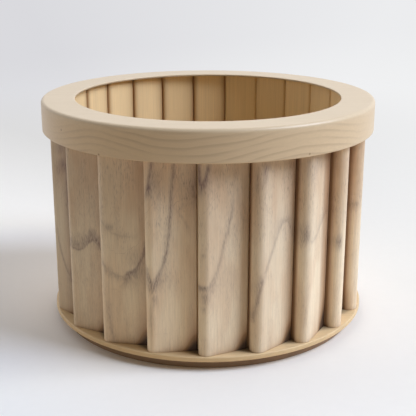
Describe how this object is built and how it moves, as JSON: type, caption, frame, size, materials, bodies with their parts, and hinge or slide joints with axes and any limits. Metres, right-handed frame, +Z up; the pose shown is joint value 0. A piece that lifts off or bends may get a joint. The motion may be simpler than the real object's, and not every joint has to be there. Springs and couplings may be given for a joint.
{
  "type": "round planter",
  "caption": "Round wooden planter: tapered upright slats round a coopered drum, under a thick top ring and on a recessed plinth, with a lift-out drip tray.",
  "frame": {"origin": "centre of the plinth's underside, on the floor", "axes": "+Z up, along the planter's axis; the pictured side faces -Y, with +X to its right"},
  "size_m": [0.4, 0.4, 0.2725],
  "materials": {
    "ring_maple": "pale maple, clear matt oil",
    "slat_wood": "limed pale wood with grey grain lines, matt",
    "stave_maple": "warm maple, clear matt oil",
    "plate_maple": "pale maple, clear matt oil",
    "plinth_wood": "brown stained wood, matt",
    "dowel_wood": "plain beech",
    "screw_steel": "zinc plated",
    "tray_plastic": "fine matt black"
  },
  "bodies": {
    "planter": {"top_ring": "ring_maple", "slat_01": "slat_wood", "slat_02": "slat_wood", "slat_03": "slat_wood", "slat_04": "slat_wood", "slat_05": "slat_wood", "slat_06": "slat_wood", "slat_07": "slat_wood", "slat_08": "slat_wood", "slat_09": "slat_wood", "slat_10": "slat_wood", "slat_11": "slat_wood", "slat_12": "slat_wood", "slat_13": "slat_wood", "slat_14": "slat_wood", "slat_15": "slat_wood", "slat_16": "slat_wood", "slat_17": "slat_wood", "slat_18": "slat_wood", "slat_19": "slat_wood", "slat_20": "slat_wood", "stave_01": "stave_maple", "stave_02": "stave_maple", "stave_03": "stave_maple", "stave_04": "stave_maple", "stave_05": "stave_maple", "stave_06": "stave_maple", "stave_07": "stave_maple", "stave_08": "stave_maple", "stave_09": "stave_maple", "stave_10": "stave_maple", "stave_11": "stave_maple", "stave_12": "stave_maple", "stave_13": "stave_maple", "stave_14": "stave_maple", "stave_15": "stave_maple", "stave_16": "stave_maple", "stave_17": "stave_maple", "stave_18": "stave_maple", "stave_19": "stave_maple", "stave_20": "stave_maple", "stave_21": "stave_maple", "stave_22": "stave_maple", "stave_23": "stave_maple", "stave_24": "stave_maple", "base_plate": "plate_maple", "plinth": "plinth_wood", "slat_dowels": "dowel_wood", "slat_screws": "screw_steel", "plinth_screws": "screw_steel"},
    "tray": {"drip_tray": "tray_plastic"}
  },
  "joints": [
    {"name": "tray_lift", "type": "slide", "parent": "planter", "child": "tray", "axis": [0, 0, 1], "range_m": [0, 0.3]}
  ]
}
